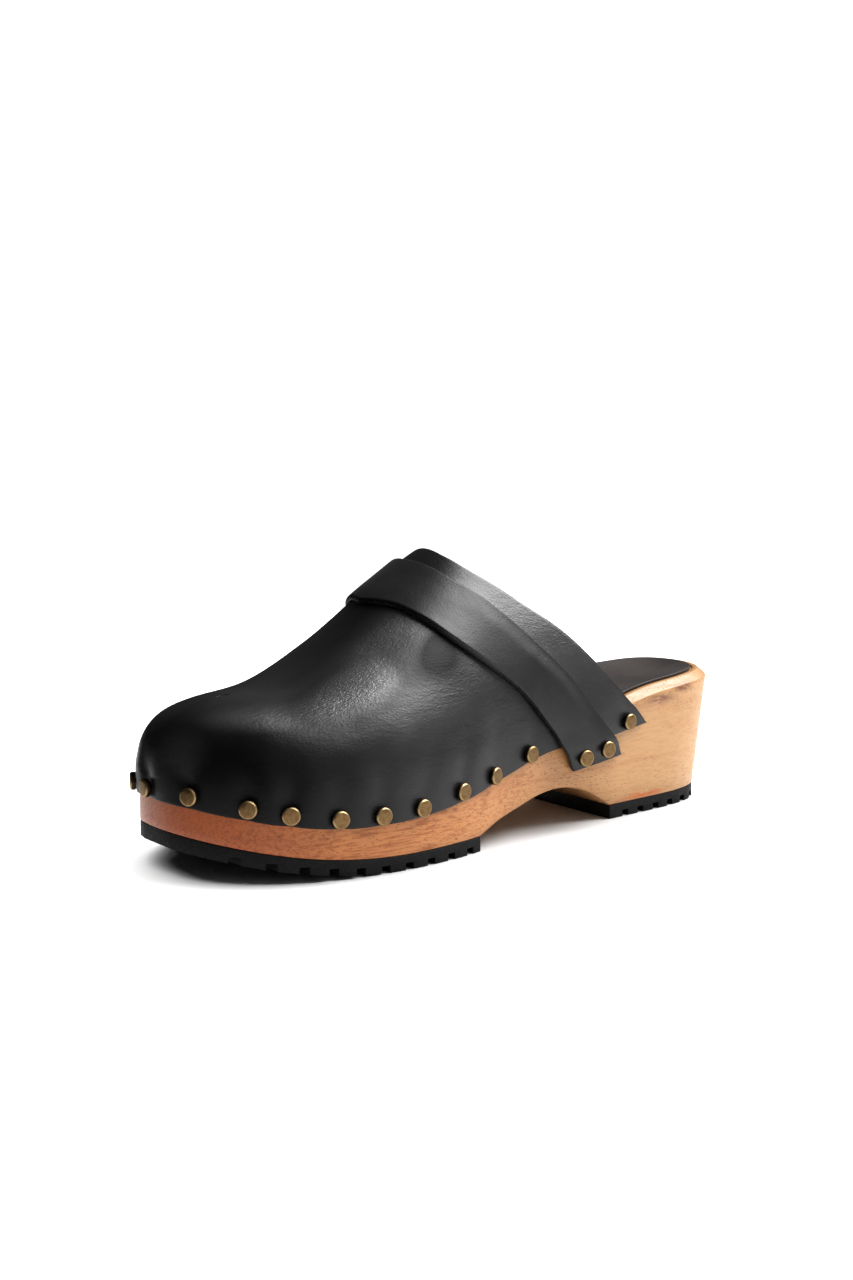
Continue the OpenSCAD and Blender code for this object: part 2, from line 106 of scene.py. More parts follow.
# Length over the dome for each degree up it, near its foot
DOME_RUN = 0.8
# The strap's rear edge is thinned: over which angles it fades out, by what share, from where across
FADE_UP, FADE_T, FADE_FROM = (12.0, 62.0), 0.78, 0.62
# Below the dome the strap's end counts as this angle under it, and thins over this span of angle
END_DROP, END_SPAN, STRAP_END_LENGTH = 8.0, 12.0, 18.0
# Share of the way to the footbed's spine at the sock's edge, and half the sock's width
SOCK_START, SOCK_HALF = 0.02, 25.0


# ---- Curves ----

def mix(a, b, t):
    return a + (b - a) * t


def ease(t):
    c = np.clip(t, 0, 1)
    return c * c * (3 - 2 * c)


def through(values, u):
    """Smooth curve through the values, at place u, with its ends run on in a straight line."""
    v = np.array([2 * values[0] - values[1], *values, 2 * values[-1] - values[-2]], float)
    i = np.clip(np.floor(u).astype(int), 0, len(values) - 2)
    t = u - i
    a, b, c, d = v[i], v[i + 1], v[i + 2], v[i + 3]
    return 0.5 * (2 * b + (c - a) * t + (2 * a - 5 * b + 4 * c - d) * t**2
                  + (3 * b - a - 3 * c + d) * t**3)


def y_at(s):
    return (s / 100 - 0.5) * SOLE_LENGTH


def station_at(y):
    return (y / SOLE_LENGTH + 0.5) * 100


def rounded_end(t, square):
    return (1 - (1 - np.clip(t, 0, 1)) ** square) ** (1 / square)


def outline(s, side):
    """Outline of the sole from above."""
    half = np.where(side > 0, through(OUTER_HALF, s / 10), through(INNER_HALF, s / 10))
    ends = rounded_end(s / TOE_END, TOE_SQUARE) * rounded_end((100 - s) / HEEL_END, HEEL_SQUARE)
    return np.stack([side * half * ends, y_at(s)], -1)


def outward(s, side):
    """Direction straight out of the outline."""
    d = 0.01
    along = outline(np.minimum(100, s + d), side) - outline(np.maximum(0, s - d), side)
    out = side[..., None] * np.stack([along[..., 1], -along[..., 0]], -1)
    out = out / np.linalg.norm(out, axis=-1, keepdims=True)
    out = np.where((s < 0.001)[..., None], [0.0, -1.0], out)
    return np.where((s > 99.999)[..., None], [0.0, 1.0], out)


def edge_z(s):
    return through(EDGE_HEIGHTS, s / 10)


def rim_z(s):
    return through(RIM_HEIGHTS, s / 10)


def at_outline(s, side, inset, z):
    p = outline(s, side) - np.asarray(inset)[..., None] * outward(s, side)
    return np.concatenate([p, np.broadcast_to(z, s.shape)[..., None]], -1)


def toe_stations(n):
    i = np.linspace(0, 1, n + 1)
    return TOE_END * (1 - np.cos(pi / 2 * i) ** (2 / TOE_SQUARE))


def heel_stations(n):
    i = np.linspace(1, 0, n + 1)
    return 100 - HEEL_END * (1 - np.cos(pi / 2 * i) ** (2 / HEEL_SQUARE))


# ---- Meshes ----

def new_piece(name, points, faces, material, node, crease):
    """A shaded mesh from points in millimetres, riding on the root body in place of a CAD node."""
    used = np.unique(np.concatenate([np.ravel(f) for f in faces]))
    place = np.full(len(points), -1)
    place[used] = np.arange(len(used))
    mesh = bpy.data.meshes.new(name)
    mesh.from_pydata(((points[used] + CENTRE) * MM).tolist(), [],
                     [place[np.asarray(f)].tolist() for f in faces])
    piece = bpy.data.objects.new(name, mesh)
    bpy.context.scene.collection.objects.link(piece)
    tidy(mesh, crease)
    mesh.materials.append(material)
    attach(piece, "root")
    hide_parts(node)


def tidy(mesh, crease):
    """Merges doubled points, turns the faces outward and marks edges over the angle as sharp."""
    b = bmesh.new()
    b.from_mesh(mesh)
    bmesh.ops.remove_doubles(b, verts=b.verts, dist=0.00001)
    bmesh.ops.recalc_face_normals(b, faces=b.faces)
    for face in b.faces:
        face.smooth = True
    for edge in b.edges:
        edge.smooth = not (edge.is_manifold and edge.calc_face_angle() > radians(crease))
    b.to_mesh(mesh)
    b.free()


def grid_quads(ids):
    return list(np.stack([ids[:-1, :-1], ids[:-1, 1:], ids[1:, 1:], ids[1:, :-1]], -1).reshape(-1, 4))


def shell(skins, zipped):
    """Points and faces of a sheet with thickness. skins are grids of the same size: the outside,
    the ones that only shape the rounded edge, and the inside. A zipped sheet's last row is a spine
    that both its halves share."""
    rows, cols = skins[0].shape[:2]
    ids = np.arange(rows * cols).reshape(rows, cols)
    if zipped:
        ids[-1, : cols // 2] = ids[-1, : cols // 2 : -1]
    last_row = [] if zipped else [(rows - 1, c) for c in range(cols - 2, -1, -1)]
    border = ([(0, c) for c in range(cols)] + [(r, cols - 1) for r in range(1, rows)]
              + last_row + [(r, 0) for r in range(rows - 2, 0, -1)])
    at = tuple(np.array(border).T)
    points = [skins[0].reshape(-1, 3), skins[-1].reshape(-1, 3)]
    loops = [ids[at]]
    start = 2 * rows * cols
    for skin in skins[1:-1]:
        points.append(skin[at])
        loops.append(start + np.arange(len(border)))
        start += len(border)
    loops.append(rows * cols + ids[at])
    faces = grid_quads(ids) + [q[::-1] for q in grid_quads(ids + rows * cols)]
    for a, b in zip(loops[:-1], loops[1:]):
        faces += [np.array(q) for q in zip(a, b, np.roll(b, -1), np.roll(a, -1))]
    return np.concatenate(points), faces


def rounded_cut(thickness, radius, steps=3):
    """(inset, depth) pairs over the cut edge of a sheet: from its outside round to its inside."""
    turn = np.linspace(0, pi / 2, steps + 1)
    over = [(radius * (1 - sin(a)), radius * (1 - cos(a))) for a in turn]
    return over + [(inset, thickness - depth) for inset, depth in reversed(over)]


# ---- Upper ----

def proud(s):
    return mix(PROUD_FRONT, PROUD_BACK, ease((s - STEP_FROM) / (STEP_TO - STEP_FROM)))


def under_z(s):
    arch = ARCH_RISE * through(ARCH_SHARES, (s - ARCH_FRONT) / (ARCH_BACK - ARCH_FRONT) * 6)
    arch = np.where((s < ARCH_FRONT) | (s > ARCH_BACK), 0, arch)
    return TREAD_T + arch + TOE_SPRING * (np.maximum(0, SPRING_START - s) / SPRING_START) ** 2


def foot_inset(s):
    arch = HEEL_INSET * ease((s - ARCH_FRONT) / (ARCH_BACK - ARCH_FRONT))
    return mix(arch, BACK_INSET, ease((s - BACK_FROM) / (100 - BACK_FROM)))


def bevel(s, i):
    return mix(FRONT_BEVEL[i], BACK_BEVEL[i], ease((s - BEVEL_FROM) / (BEVEL_TO - BEVEL_FROM)))


def bevel_foot_z(s):
    return rim_z(s) - bevel(s, 1)


def step_at(s):
    return STEP_DEPTH * (1 - ease((s - STEP_FROM) / (STEP_TO - STEP_FROM)))


def lean(s, z):
    return foot_inset(s) * (1 - np.clip((z - under_z(s)) / (bevel_foot_z(s) - under_z(s)), 0, 1))


def shoulder(s, side):
    """How much squarer the dome is over the outer side of the toes."""
    fade = 1 - ease((s - SHOULDER_FROM) / (SHOULDER_TO - SHOULDER_FROM))
    return np.where(side > 0, SHOULDER * (ease(s / SHOULDER_FULL) * fade), 0.0)


def dome(s, side, up, out):
    """Point on the outside of the upper, moved out by out. up is the angle up the dome."""
    nose = rounded_end(s / TOE_END, TOE_SQUARE)
    root_y = np.hypot(s * SOLE_LENGTH / 100, SPINE_START) - SOLE_LENGTH / 2 + SPINE_SHIFT * nose
    root = np.stack([SPINE_X * nose, root_y], -1)
    back = ease(s / INSTEP_STATION)
    top = ease((up - TOP_FROM) / (90 - TOP_FROM))
    square = shoulder(s, side)
    plan = mix(mix(TOE_PLAN, INSTEP_PLAN, back) + square, TOP_PLAN, top)
    rise = mix(TOE_RISE, INSTEP_RISE, back) + square
    a = np.radians(up)
    flat = np.maximum(0, np.cos(a))
    bulge = mix(TOE_BULGE, INSTEP_BULGE, back) * np.sin(2 * a) * flat
    foot = outline(s, side) + outward(s, side) * (proud(s) + bulge + out)[..., None]
    p = root + (foot - root) * (flat ** (2 / plan))[..., None]
    ridge = through(RIDGE_HEIGHTS, station_at(p[..., 1]) / 10)
    z = mix(edge_z(s) + WALL_H, ridge + out, np.sin(a) ** (2 / rise))
    return np.concatenate([p, z[..., None]], -1)


def wall(s, side, h, out):
    """Point on the upright wall under the dome, h above the leather's lower edge."""
    z = edge_z(s) + h
    return at_outline(s, side, lean(s, z) * (1 - h / WALL_H) - proud(s) - out, z)


def outline_length():
    """Stations and the length round the outline from the toe's tip to each, for both sides."""
    s = np.unique(np.concatenate([toe_stations(60), np.linspace(TOE_END, 100, 200)]))
    lengths = []
    for side in (1.0, -1.0):
        p = outline(s, np.full_like(s, side))
        lengths.append(np.concatenate([[0], np.cumsum(np.linalg.norm(np.diff(p, axis=0), axis=1))]))
    return s, lengths


STATIONS, (OUTER_LENGTH, INNER_LENGTH) = outline_length()


def round_toe(s, side):
    """Length round the outline from the toe's tip: positive on the outer side."""
    outer, inner = np.interp(s, STATIONS, OUTER_LENGTH), np.interp(s, STATIONS, INNER_LENGTH)
    return np.where(side > 0, outer, -inner)


def nail_places():
    """Where the upper's nails are round the toe, from the inner side to the outer."""
    outer, inner = np.array(OUTER_NAILS)[:, 0], np.array(INNER_NAILS)[:, 0]
    s = np.concatenate([inner, outer])
    return np.sort(round_toe(s, np.repeat([-1.0, 1.0], [len(inner), len(outer)])))


def pulls(s, side, h):
    """How far the leather stands off its smooth shape: drawn in at each nail, with folds running
    up from it that fade away from the toe, and puckered out between the nails."""
    at = round_toe(s, side)
    nails = nail_places()
    rng = np.random.default_rng(7)
    slants = rng.uniform(-FOLD_SLANT, FOLD_SLANT, len(nails))
    depths = rng.uniform(0.55, 1.0, len(nails))
    near_toe = np.exp(-(at / FOLD_FADE) ** 4)
    total = np.zeros_like(at)
    above = np.maximum(0, h - NAIL_ROW)
    for nail, slant, depth in zip(nails, slants, depths):
        width = FOLD_WIDTH + FOLD_SPREAD * above
        away = at - nail - slant * above
        fold = -FOLD_DEPTH * depth * np.exp(-(away / width) ** 2) * np.exp(-(above / FOLD_REACH) ** 2)
        fold *= mix(FOLD_LOW_SHARE, 1, ease(above / FOLD_RISE))
        dimple = -DIMPLE * np.exp(-((at - nail) ** 2 + (h - NAIL_ROW) ** 2) / DIMPLE_R**2)
        total += fold * mix(FOLD_FAR_SHARE, 1, near_toe) + dimple
    swell = PUCKER * np.exp(-((h - PUCKER_AT) / PUCKER_TALL) ** 2) * mix(PUCKER_FAR_SHARE, 1, near_toe)
    for a, b in zip(nails[:-1], nails[1:]):
        total += swell * np.sin(pi * np.clip((at - a) / (b - a), 0, 1)) ** 2
    return total


def upper_skin(inset, out):
    """Rows of points up the wall and the dome, each from the inner end round the toe to the outer."""
    toe, body = toe_stations(44), np.linspace(0, 1, 71)[1:]
    low = np.concatenate([[0], np.arange(1.0, WALL_H, 1.0)])
    ups = np.concatenate([np.arange(0, 30, 1.5), np.arange(30, 90.1, 2.5)])
    rows = []
    for h in low:
        end = mix(TAIL, THROAT_LINE[0], h / WALL_H) - inset * 100 / SOLE_LENGTH
        rows.append(("wall", max(h, inset), end))
    for up in ups:
        end = through(THROAT_LINE, np.array(up / LINE_STEP)) - inset * 100 / SOLE_LENGTH
        rows.append(("dome", up, end))
    grid = []
    for kind, place, end in rows:
        half = np.concatenate([toe, mix(TOE_END, end, body)])
        s = np.concatenate([half[:0:-1], half])
        side = np.concatenate([-np.ones(len(half) - 1), np.ones(len(half))])
        if kind == "wall":
            h = np.full_like(s, place)
            grid.append(wall(s, side, h, out + pulls(s, side, h)))
        else:
            pull = pulls(s, side, np.full_like(s, WALL_H + place * DOME_RUN)) * cos(radians(place))
            grid.append(dome(s, side, np.full_like(s, place), out + pull))
    return np.array(grid)


def leather_upper(material):
    skins = [upper_skin(inset, -depth) for inset, depth in rounded_cut(LEATHER_T, UPPER_ROUND)]
    points, faces = shell(skins, zipped=True)
    new_piece("upper", points, faces, material, "leather_upper", SHEET_CREASE)


# ---- Strap ----

def strap_skin(inset, depth):
    """depth runs from the outside (0) to the inside (the strap's thickness)."""
    grid = []
    ends = np.concatenate([[0, 0.02], np.linspace(0.05, 1, 16)[:-1]])
    ups = np.linspace(0, 90, 61)
    across = np.concatenate([[0, 0.02], np.linspace(0.05, 0.95, 19), [0.98, 1]])

    def width_share(front, back):
        wide = (back - front) * SOLE_LENGTH / 100
        return mix(inset / wide, 1 - inset / wide, across)

    def lift(up, share):
        """The rear edge is thinned towards the sides."""
        low = 1 - ease((up - FADE_UP[0]) / (FADE_UP[1] - FADE_UP[0]))
        thin = FADE_T * low * ease((share - FADE_FROM) / (1 - FADE_FROM))
        return STRAP_GAP + (STRAP_T - depth) * (1 - thin * ease((up + END_DROP) / END_SPAN))

    for side in (1.0, -1.0):
        rows = []
        for t in ends:
            share = width_share(STRAP_END_FRONT[0], STRAP_END_BACK[0])
            t = mix(inset / STRAP_END_LENGTH, 1, t)
            s0, z0 = (mix(a, b, share) for a, b in zip(STRAP_END_FRONT, STRAP_END_BACK))
            s1 = mix(STRAP_FRONT[0], STRAP_BACK[0], share)
            s, z = mix(s0, s1, t), mix(z0, edge_z(s1) + WALL_H, t)
            seat = mix(-lean(s, z), proud(s), ease(t / STRAP_SEATED))
            inward = -seat - lift(-END_DROP * (1 - t), share)
            rows.append(at_outline(s, np.full_like(s, side), inward, z))
        for up in ups:
            front, back = (through(line, np.array(up / LINE_STEP)) for line in (STRAP_FRONT, STRAP_BACK))
            share = width_share(front, back)
            s = mix(front, back, share)
            rows.append(dome(s, np.full_like(s, side), np.full_like(s, up), lift(up, share)))
        grid.append(np.array(rows))
    return np.concatenate([grid[0], grid[1][-2::-1]])


def instep_strap(material):
    skins = [strap_skin(inset, depth) for inset, depth in rounded_cut(STRAP_T, STRAP_ROUND)]
    points, faces = shell(skins, zipped=False)
    new_piece("strap", points, faces, material, "instep_strap", SHEET_CREASE)


# ---- Wooden sole ----

def bed_point(s, side, spine, w, lift):
    """Point of the footbed, from its edge (w = 0) to its spine (w = 1)."""
    edge = at_outline(s, side, step_at(s) + bevel(s, 0) + RIM_W, 0)
    x, y = mix(edge[..., 0], spine[..., 0], w), mix(edge[..., 1], spine[..., 1], w)
    at = station_at(y)
    depth = BED_DEPTH * mix(BED_FRONT_SHARE, 1, ease((at - BED_FROM) / (BED_TO - BED_FROM)))
    return np.stack([x, y, rim_z(at) - BED_LIP - depth * (1 - (1 - w) ** BED_CURVE) + lift], -1)


def sole_stations():
    parts = [toe_stations(36), np.linspace(TOE_END, ARCH_FRONT, 31),
             np.linspace(ARCH_FRONT, ARCH_BACK, 61),
             np.linspace(ARCH_BACK, 100 - HEEL_END, 17), heel_stations(30)]
    return np.unique(np.concatenate(parts).round(6))


def side_rings(s):
    """(inset, height) of each ring up the side of the sole, with its edges rounded."""
    foot, low = foot_inset(s), under_z(s)
    rings = [(foot + 0.8, low), (foot + 0.23, low + 0.2), (foot, low + 0.75)]
    rings = [(i - foot + lean(s, z), z) for i, z in rings]
    top = edge_z(s)
    rings += [(lean(s, mix(low, top, t)), mix(low, top, t)) for t in (0.25, 0.5, 0.75, 0.97, 1.0)]
    rings += [(lean(s, top) + step_at(s), top + STEP_H)]
    foot_z = bevel_foot_z(s)
    heights = [mix(top + STEP_H, foot_z, t) for t in (0.35, 0.7, 0.94)]
    rings += [(step_at(s) + lean(s, z), z) for z in heights]
    wide, high = bevel(s, 0), bevel(s, 1)
    rings += [(step_at(s) + wide * t, foot_z + high * t) for t in (0.06, 0.2, 0.5, 0.8, 0.94)]
    rings += [(step_at(s) + wide + t, rim_z(s) - d) for t, d in ((0.25, 0.0), (1.2, 0.05), (1.9, 0.2))]
    return rings


def wooden_sole(material):
    """Rings up the side, over the rim and in across the footbed to a spine, closed underneath."""
    half = sole_stations()
    s = np.concatenate([half, half[-2:0:-1]])
    side = np.concatenate([np.ones(len(half)), -np.ones(len(half) - 2)])
    n, m = len(half) - 1, len(s)
    rings = [at_outline(s, side, inset, z) for inset, z in side_rings(s)]
    spine_y = np.linspace(BED_SPINE_MARGIN - SOLE_LENGTH / 2, SOLE_LENGTH / 2 - BED_SPINE_MARGIN, n + 1)
    spine = np.stack([np.zeros(n + 1), spine_y], -1)
    across = np.concatenate([np.arange(n + 1), np.arange(n - 1, 0, -1)])
    for w in (0, 0.03, 0.08, 0.14, 0.22, 0.32, 0.44, 0.58, 0.74, 0.88, 1.0):
        rings.append(bed_point(s, side, spine[across], w, 0))
    points = np.concatenate(rings)
    ids = np.arange(len(rings) * m).reshape(-1, m)
    ids[-1] = ids[-1][across]
    faces = grid_quads(np.concatenate([ids, ids[:, :1]], 1))
    under = ids[0]
    faces += [np.array([under[j], under[j + 1], under[(m - j - 1) % m], under[(m - j) % m]])
              for j in range(1, n - 1)]
    faces += [under[[0, 1, m - 1]], under[[n - 1, n, n + 1]]]
    faces = [list(dict.fromkeys(q.tolist())) for q in faces]
    faces = [np.array(f) for f in faces if len(f) > 2]
    new_piece("sole", points, faces, material, "wooden_sole", WOOD_CREASE)


# ---- Heel sock ----

def sock_skin(inset, lift):
    """Rows of points from the sock's edge in to the footbed's spine."""
    rows = np.concatenate([np.linspace(SOCK_START, 0.4, 12), np.linspace(0.45, 1, 12)])
    front = SOCK_FRONT + inset * 100 / SOLE_LENGTH
    half = np.concatenate([heel_stations(24)[::-1], np.linspace(100 - HEEL_END, front, 41)[1:]])
    n = len(half) - 1
    s = np.concatenate([half[:0:-1], half])
    side = np.concatenate([np.ones(n), -np.ones(n + 1)])
    spine_y = np.linspace(SOLE_LENGTH / 2 - BED_SPINE_MARGIN, y_at(SOCK_SPINE_FRONT) + inset, n + 1)
    spine_y = np.concatenate([spine_y[:0:-1], spine_y])
    spine = np.stack([np.zeros_like(spine_y), spine_y], -1)
    rows[:-1] = np.maximum(rows[:-1], SOCK_START + inset / SOCK_HALF)
    return np.array([bed_point(s, side, spine, w, lift) for w in rows])


def heel_sock(material):
    cut = rounded_cut(SOCK_T, SOCK_ROUND)
    skins = [sock_skin(inset, SOCK_CLEAR + SOCK_T - depth) for inset, depth in cut]
    points, faces = shell(skins, zipped=True)
    new_piece("sock", points, faces, material, "heel_sock", SHEET_CREASE)


# ---- Treads ----

def rounded_tread(name, node, material):
    """The CAD tread with the edges of its lugs rounded, as moulded rubber has them."""
    mesh = bpy.data.meshes.new(name)
    b = bmesh.new()
    b.from_mesh(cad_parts[node].data)
    bmesh.ops.remove_doubles(b, verts=b.verts, dist=0.00002)
    bmesh.ops.dissolve_limit(b, angle_limit=radians(1.5), verts=b.verts, edges=b.edges)
    corners = [e for e in b.edges if e.is_manifold and e.calc_face_angle() > radians(RUBBER_CREASE)]
    bmesh.ops.bevel(b, geom=corners, offset=LUG_ROUND * MM, segments=3, profile=0.5, affect="EDGES",
                    clamp_overlap=True)
    b.to_mesh(mesh)
    b.free()
    tidy(mesh, RUBBER_CREASE)
    piece = bpy.data.objects.new(name, mesh)
    bpy.context.scene.collection.objects.link(piece)
    mesh.materials.append(material)
    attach(piece, "root")
    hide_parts(node)


# ---- Nails ----

def nail_mesh(material):
    """A turned nail with a softly crowned flat head, along +Z, its head's underside at z = 0."""
    r, h = HEAD_D / 2, HEAD_H
    head = [(r - 0.16, 0.0), (r - 0.03, 0.12), (r, 0.35), (r, h - 0.7), (r - 0.04, h - 0.52),
            (r - 0.42, h - 0.16), (r - 0.55, h - 0.08), (r - 0.72, h - 0.05),
            (r * 0.5, h - 0.02), (r * 0.2, h)]
    shank = [(0.15, -SHANK_L), (SHANK_D / 2, 1.5 - SHANK_L), (SHANK_D / 2, -0.05),
             (SHANK_D / 2 + 0.1, 0.0)]
    mesh = bpy.data.meshes.new("nail")
    b = bmesh.new()
    steps = 40
    turns = [2 * pi * k / steps for k in range(steps)]
    loops = [[b.verts.new((radius * cos(a) * MM, radius * sin(a) * MM, z * MM)) for a in turns]
             for radius, z in shank + head]
    for low, high in zip(loops[:-1], loops[1:]):
        for k in range(steps):
            j = (k + 1) % steps
            b.faces.new((low[k], low[j], high[j], high[k]))
    b.faces.new(list(reversed(loops[0])))
    b.faces.new(loops[-1])
    b.to_mesh(mesh)
    b.free()
    tidy(mesh, BRASS_CREASE)
    mesh.materials.append(material)
    return mesh


def place_nail(name, node, mesh, s, side, out, z, turn):
    """A nail driven straight into the side of the sole, its head's underside out from the outline."""
    s, side = np.array(s, float), np.array(side, float)
    p = (at_outline(s, side, -np.array(out), z) + CENTRE) * MM
    d = outward(s, side)
    nail = bpy.data.objects.new(name, mesh)
    nail.matrix_world = (Matrix.Translation(Vector(p)) @ Matrix.Rotation(atan2(d[1], d[0]), 4, "Z")
                         @ Matrix.Rotation(pi / 2, 4, "Y") @ Matrix.Rotation(turn, 4, "Z"))
    bpy.context.scene.collection.objects.link(nail)
    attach(nail, "root")
    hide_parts(node)


def nails(material):
    mesh = nail_mesh(material)
    rng = np.random.default_rng(3)
    for label, side, places in (("outer", 1, OUTER_NAILS), ("inner", -1, INNER_NAILS)):
        for i, (s, rise) in enumerate(places, 1):
            at = np.array(float(s))
            place_nail(f"nail-{label}-{i:02d}", f"nail_{label}_{i:02d}", mesh, s, side,
                       proud(at) - HEAD_SINK, edge_z(at) + rise, rng.uniform(0, 2 * pi))
        for i, (s, z) in enumerate(STRAP_NAILS, 1):
            at = np.array(float(s))
            t = (z - STRAP_END_FRONT[1]) / (edge_z(at) + WALL_H - STRAP_END_FRONT[1])
            seat = mix(-lean(at, z), proud(at), ease(t / STRAP_SEATED))
            place_nail(f"strap-nail-{label}-{i:02d}", f"strap_nail_{label}_{i:02d}", mesh, s, side,
                       seat + STRAP_GAP + STRAP_T - HEAD_SINK, z, rng.uniform(0, 2 * pi))


# ---- Materials ----

class Surface:
    """A material built from nodes, with its Principled shader's own sockets set by name."""

    def __init__(self, name, **values):
        self.material = bpy.data.materials.new(name)
        self.material.use_nodes = True
        self.tree = self.material.node_tree
        self.shader = next(n for n in self.tree.nodes if n.type == "BSDF_PRINCIPLED")
        for socket, value in values.items():
            self.shader.inputs[socket.replace("_", " ")].default_value = value
        self.place = self.add("ShaderNodeTexCoord").outputs["Object"]

    def add(self, kind, inputs=None, **settings):
        node = self.tree.nodes.new(kind)
        for key, value in settings.items():
            setattr(node, key, value)
        for socket, value in (inputs or {}).items():
            self.feed(node.inputs[socket], value)
        return node

    def feed(self, socket, value):
        if isinstance(value, bpy.types.NodeSocket):
            self.tree.links.new(value, socket)
        else:
            socket.default_value = value

    def put(self, socket, value):
        self.feed(self.shader.inputs[socket], value)

    def stretched(self, scale):
        return self.add("ShaderNodeMapping", {"Vector": self.place, "Scale": scale}).outputs[0]

    def noise(self, scale, detail=3.0, roughness=0.5, distortion=0.0):
        """Noise with one feature per 1 / scale metres along each axis."""
        return self.add("ShaderNodeTexNoise", {
            "Vector": self.stretched(scale), "Scale": 1.0, "Detail": detail,
            "Roughness": roughness, "Distortion": distortion}).outputs["Fac"]

    def cells(self, scale):
        """Distance from the nearest of scattered points, 1 / scale metres apart along each axis."""
        return self.add("ShaderNodeTexVoronoi", {
            "Vector": self.stretched(scale), "Scale": 1.0}).outputs["Distance"]

    def math(self, operation, a, b=0.0):
        return self.add("ShaderNodeMath", {0: a, 1: b}, operation=operation).outputs[0]

    def span(self, value, low, high, to_low=0.0, to_high=1.0):
        """Maps low..high smoothly onto to_low..to_high."""
        return self.add("ShaderNodeMapRange", {
            "Value": value, "From Min": low, "From Max": high, "To Min": to_low, "To Max": to_high},
            interpolation_type="SMOOTHSTEP").outputs["Result"]

    def blend(self, factor, a, b):
        node = self.add("ShaderNodeMix", data_type="RGBA")
        for i, value in ((0, factor), (6, a), (7, b)):
            self.feed(node.inputs[i], value)
        return node.outputs[2]

    def spot(self, centre, size):
        """1 at a place in millimetres, falling to 0 at size millimetres from it along each axis."""
        shifted = self.add("ShaderNodeVectorMath", {0: self.place, 1: tuple(-c * MM for c in centre)},
                           operation="ADD").outputs[0]
        scaled = self.add("ShaderNodeVectorMath", {0: shifted, 1: tuple(1 / (x * MM) for x in size)},
                          operation="MULTIPLY").outputs[0]
        away = self.add("ShaderNodeVectorMath", {0: scaled}, operation="LENGTH").outputs["Value"]
        return self.span(away, 1.0, 0.0)

    def along(self, axis):
        return self.add("ShaderNodeSeparateXYZ", {0: self.place}).outputs[axis]

    def bump(self, height, distance_mm, strength=1.0, normal=None):
        node = self.add("ShaderNodeBump", {
            "Height": height, "Distance": distance_mm * MM, "Strength": strength})
        if normal is not None:
            self.feed(node.inputs["Normal"], normal)
        return node.outputs[0]


def colour(r, g, b):
    """An sRGB colour of 0 to 255 as linear values with alpha."""
    srgb = np.array([r, g, b]) / 255
    linear = np.where(srgb <= 0.04045, srgb / 12.92, ((srgb + 0.055) / 1.055) ** 2.4)
    return (*linear.tolist(), 1.0)


# Burnished places of the upper, partly real burnish and partly painted sheen and shade in the leather's
# reflection: where, how far they reach along each axis, how much they add
BURNISH_AND_PAINTED_SHEEN = [((20, -35, 79), (22, 48, 28), 3.0), ((30, -67, 70), (17, 26, 22), 4.9),
             ((49, -17, 54), (16, 89, 17), 0.8), ((11, -122, 44), (17, 14, 11), 1.7),
             ((24, -103, 56), (20, 37, 6), 1.2), ((27, -27, 84), (18, 33, 41), -2.7),
             ((27, 13, 71), (81, 67, 31), 0.85), ((18, -82, 64), (60, 43, 16), 0.6)]


def upper_leather():
    m = Surface("upper leather", IOR=1.52, Sheen_Weight=0.02)
    broad = m.noise((30, 22, 30), 3)
    creases = m.noise((420, 130, 420), 4, 0.6, 0.9)
    streaks = m.noise((1400, 420, 1400), 5, 0.65, 0.8)
    pebble = m.cells((1500, 1000, 1500))
    # Painted sheen: the leather's reflection is turned down at the toe and up behind it, then raised or
    # lowered by the spots below to place highlights and shade
    shine = m.span(m.along("Y"), -0.112, -0.022, 0.19, 0.44)
    for place, reach, amount in BURNISH_AND_PAINTED_SHEEN:
        shine = m.math("ADD", shine, m.math("MULTIPLY", m.spot(place, reach), amount))
    shine = m.math("MAXIMUM", shine, 0.1)
    # The grain is deeper where the painted sheen is strong
    burnish_and_sheen = m.span(shine, 0.5, 2.6)
    depth = m.math("ADD", m.math("MULTIPLY", burnish_and_sheen, 0.75), 0.35)
    grain = m.math("MULTIPLY", m.math("ADD", streaks, creases), depth)
    grain = m.math("ADD", grain, m.math("MULTIPLY", pebble, 0.2))
    wide = m.bump(m.noise((170, 75, 170), 3, 0.55, 0.6), 0.3, 0.4)
    m.put("Normal", m.bump(grain, 0.16, 1.0, wide))
    m.put("Base Color", m.blend(m.span(broad, 0.3, 0.7), colour(13, 13, 14), colour(20, 19, 19)))
    m.put("Roughness", m.span(broad, 0.3, 0.7, 0.4, 0.46))
    m.put("Specular IOR Level", m.math("MULTIPLY", shine, m.span(broad, 0.3, 0.7, 0.85, 1.1)))
    return m.material


# Painted shade: the reflection is taken off the strap's front lip over the top of the foot
SHADED_LIP, SHADED_LIP_REACH = (-16, -29, 86), (30, 11, 10)


def strap_leather():
    m = Surface("strap leather", IOR=1.5, Sheen_Weight=0.05)
    broad = m.noise((35, 35, 35), 3)
    streaks = m.noise((700, 500, 700), 4, 0.6, 0.3)
    pebble = m.cells((1300, 1300, 1300))
    grain = m.math("ADD", m.math("MULTIPLY", streaks, 0.35), m.math("MULTIPLY", pebble, 0.25))
    wide = m.bump(m.noise((90, 90, 90), 2), 0.25)
    m.put("Normal", m.bump(grain, 0.12, 1.0, wide))
    m.put("Base Color", m.blend(m.span(broad, 0.3, 0.7), colour(18, 18, 19), colour(26, 25, 25)))
    m.put("Roughness", m.span(broad, 0.3, 0.7, 0.42, 0.52))
    # Painted shade: no reflection on the front lip over the top of the foot
    m.put("Specular IOR Level", m.span(m.spot(SHADED_LIP, SHADED_LIP_REACH), 0.0, 0.4, 0.44, 0.04))
    return m.material


